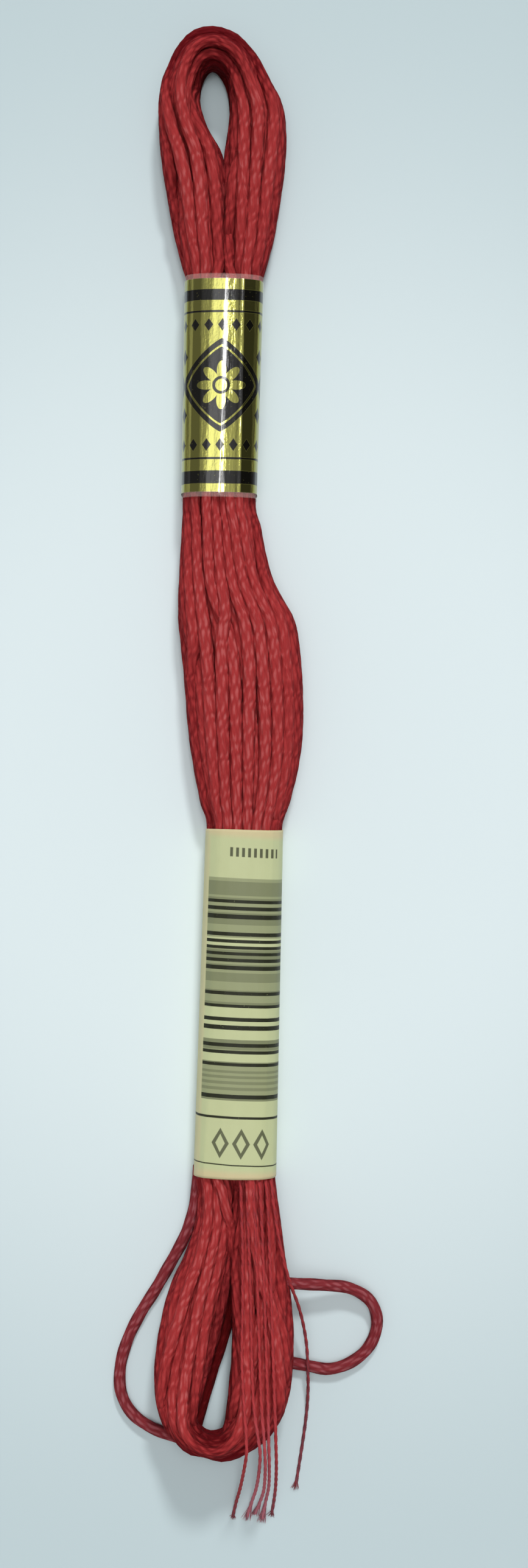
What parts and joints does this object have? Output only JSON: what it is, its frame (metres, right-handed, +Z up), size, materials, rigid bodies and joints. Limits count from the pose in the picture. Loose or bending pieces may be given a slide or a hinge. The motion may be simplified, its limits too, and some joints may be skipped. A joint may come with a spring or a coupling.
{
  "type": "pull skein of stranded cotton",
  "caption": "Flat pull skein of six-strand embroidery cotton, a loop at each end, held by two paper bands, with one slipped turn and the thread's free end opened into its strands.",
  "frame": {"origin": "middle of the hank's box on the surface it lies on, without its free thread", "axes": "+Y along the hank, towards the loop at its plainer end; +Z up, away from the surface; +X across"},
  "size_m": [0.031, 0.1722, 0.0109],
  "materials": {
    "red_cotton": "satin",
    "gold_foil": "glossy metallic gold print",
    "label_paper": "satin"
  },
  "bodies": {
    "root": {"skein": "red_cotton", "upper_band": "gold_foil", "lower_band": "label_paper", "loose_turn": "red_cotton", "strand_1": "red_cotton", "strand_2": "red_cotton", "strand_3": "red_cotton", "strand_4": "red_cotton", "strand_5": "red_cotton", "strand_6": "red_cotton"}
  },
  "joints": []
}
